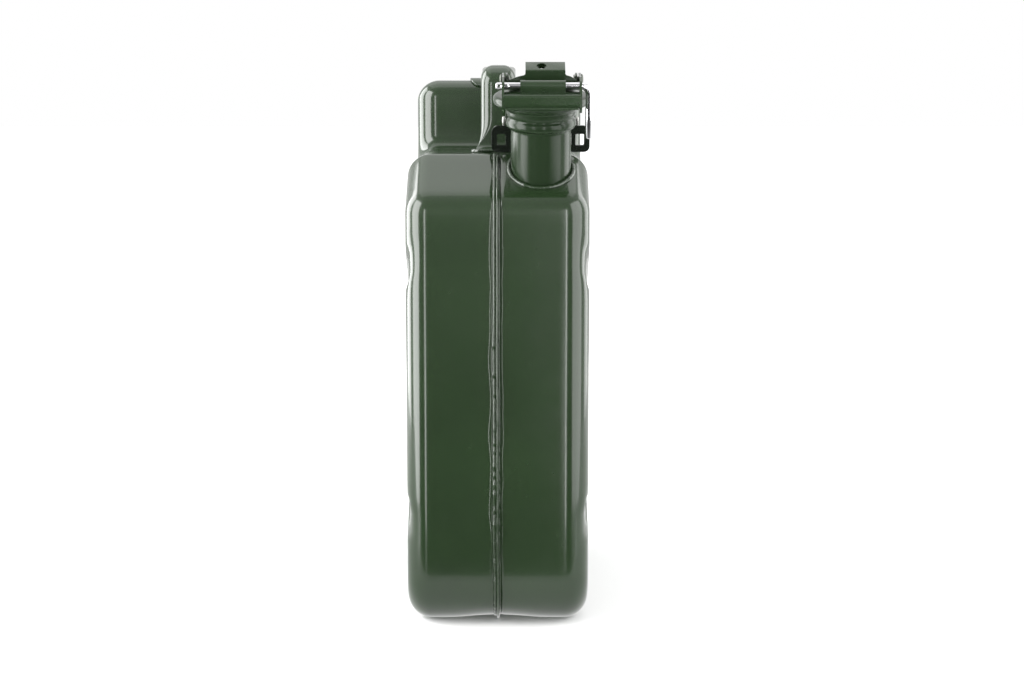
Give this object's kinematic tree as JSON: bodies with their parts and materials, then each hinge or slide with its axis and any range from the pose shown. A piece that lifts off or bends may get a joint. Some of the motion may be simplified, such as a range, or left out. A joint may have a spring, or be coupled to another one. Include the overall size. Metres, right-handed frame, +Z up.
{
  "type": "jerry can",
  "caption": "Slim pressed-steel fuel can with a strap handle, an air-chamber hump and a hinged, lever-locked filler cap held by a bent safety pin.",
  "frame": {"origin": "on the floor under the middle of the can's bounding box", "axes": "+Z up, -Y towards the filler end, +X towards the half that carries the filler neck"},
  "size_m": [0.128, 0.2975, 0.391],
  "materials": {
    "green_enamel": "glossy olive-green baked enamel",
    "bright_chrome": "bright plated rod",
    "zinc_steel": "zinc-plated, satin",
    "black_rubber": "matt black fuel-resistant rubber"
  },
  "bodies": {
    "can": {"left_shell": "green_enamel", "right_shell": "green_enamel", "seam_flange": "green_enamel", "neck": "green_enamel", "neck_weld": "green_enamel", "breather_tube": "zinc_steel", "breather_clip": "zinc_steel", "neck_bracket": "green_enamel", "bracket_weld_left": "green_enamel", "bracket_weld_right": "green_enamel", "hinge_pin": "zinc_steel", "handle": "green_enamel", "handle_rear_plate": "green_enamel", "handle_front_weld": "green_enamel", "handle_rear_weld": "green_enamel"},
    "cap": {"lid": "green_enamel", "gasket": "black_rubber", "gasket_retainer": "zinc_steel", "retainer_rivet": "zinc_steel", "lid_yoke": "green_enamel", "lever_rivet_left": "zinc_steel", "lever_rivet_right": "zinc_steel"},
    "lever_arm": {"lever": "green_enamel"},
    "pin": {"safety_pin": "bright_chrome"}
  },
  "joints": [
    {"name": "cap_hinge", "type": "hinge", "parent": "can", "child": "cap", "pos_m": [0.03, -0.07729, 0.35085], "axis": [-1, 0, 0], "range_deg": [0, 90]},
    {"name": "lever_pivot", "type": "hinge", "parent": "cap", "child": "lever_arm", "pos_m": [0.03, -0.11714, 0.3796], "axis": [-1, 0, 0], "range_deg": [0, 85]},
    {"name": "pin_slide", "type": "slide", "parent": "lever_arm", "child": "pin", "axis": [1, 0, 0], "range_m": [0, 0.063]}
  ]
}
